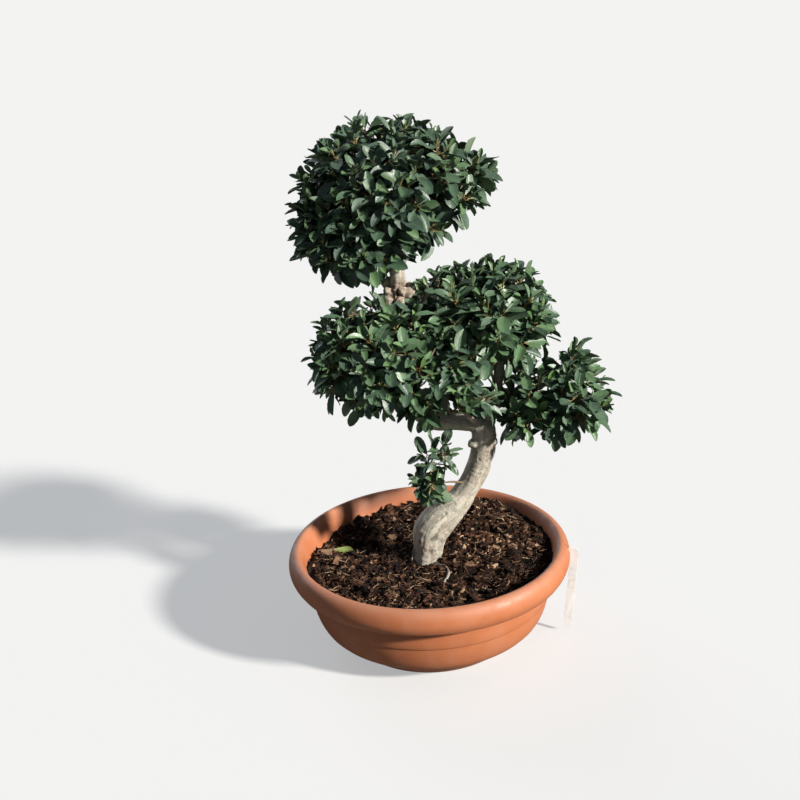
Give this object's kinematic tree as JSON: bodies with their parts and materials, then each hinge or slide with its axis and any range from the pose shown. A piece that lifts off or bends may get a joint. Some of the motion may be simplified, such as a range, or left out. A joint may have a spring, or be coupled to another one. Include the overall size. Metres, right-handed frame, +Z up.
{
  "type": "robusta ficus bonsai",
  "caption": "Robusta ficus bonsai with an S-shaped trunk and rounded leafy heads, planted in a wide shallow terracotta-coloured bowl.",
  "frame": {"origin": "centre of the bowl's flat base, on the surface that it stands on", "axes": "+Z up; -Y towards the viewer in front of the tree; +X to the viewer's right, the way the trunk leans"},
  "size_m": [0.5899, 0.5, 0.9254],
  "materials": {
    "terracotta_plastic": "moulded, matt, slightly chalky",
    "potting_soil": "dark peat with bark mulch and fibres",
    "bark": "smooth pale bark with fine cracks",
    "foliage": "waxy dark green leaves",
    "white_plastic": "blank white film"
  },
  "bodies": {
    "root": {"bowl": "terracotta_plastic", "soil": "potting_soil", "trunk": "bark", "crown_top": "foliage", "crown_middle": "foliage", "crown_right": "foliage", "sprig": "foliage", "dropped_leaf": "foliage", "plant_tag": "white_plastic"}
  },
  "joints": []
}
